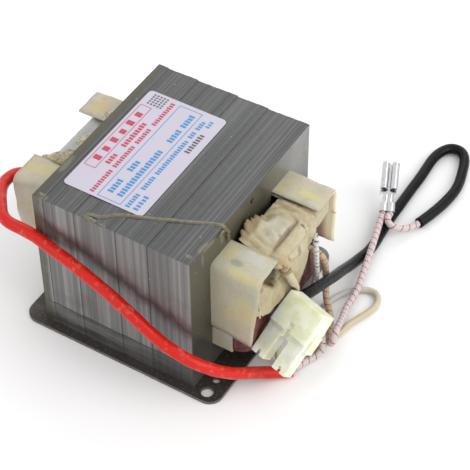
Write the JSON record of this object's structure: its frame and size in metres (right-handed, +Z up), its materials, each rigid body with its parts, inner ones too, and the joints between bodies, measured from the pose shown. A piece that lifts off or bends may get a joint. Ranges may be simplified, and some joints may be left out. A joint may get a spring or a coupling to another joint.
{
  "type": "high voltage transformer",
  "caption": "Laminated high voltage transformer of a microwave oven on a base plate, with sleeved leads, a push-on terminal and a two-way connector.",
  "frame": {"origin": "under the middle of the lamination core, on the surface the base plate stands on", "axes": "+X along the lamination stack towards the end with the connector, +Y across the laminations towards the back, +Z up"},
  "size_m": [0.1469, 0.1882, 0.0743],
  "materials": {
    "plate_steel": "varnish-dipped sheet steel, glossy dark brownish grey",
    "core_steel": "varnished silicon steel laminations, dark grey with fine lines",
    "enamelled_wire": "dark red enamel on copper wire",
    "insulating_sheet": "cream insulating sheet soaked in varnish",
    "varnished_cloth": "cream to tan cloth tape soaked in varnish",
    "label_paper": null,
    "varnish": "hardened greenish brown varnish",
    "red_sleeving": "satin bright red sleeving",
    "black_sleeving": "satin black sleeving",
    "braided_lead": "pale pink glass braid with a red tracer",
    "white_silicone": "matt white silicone, cream where varnish has soaked it",
    "tinned_brass": "bright tin plate",
    "nylon": "translucent pale green natural nylon"
  },
  "bodies": {
    "root": {"base_plate": "plate_steel", "closing_bar": "core_steel", "e_core": "core_steel", "primary_winding": "enamelled_wire", "primary_liner_front": "insulating_sheet", "primary_liner_back": "insulating_sheet", "shunt_front": "core_steel", "shunt_back": "core_steel", "heater_winding": "braided_lead", "secondary_winding": "enamelled_wire", "secondary_wrap": "varnished_cloth", "slot_liner_front": "insulating_sheet", "slot_liner_back": "insulating_sheet", "lead_cover": "varnished_cloth", "cloth_flap": "varnished_cloth", "label": "label_paper", "varnish_bead": "varnish", "lead_tie": "varnished_cloth", "cream_sleeve": "white_silicone", "red_sleeve": "red_sleeving", "red_tail": "braided_lead", "heater_lead": "braided_lead", "black_sleeve": "black_sleeving", "black_tail": "braided_lead", "white_lead": "white_silicone", "spade_terminal": "tinned_brass", "connector_housing": "nylon", "connector_contacts": "tinned_brass"}
  },
  "joints": []
}
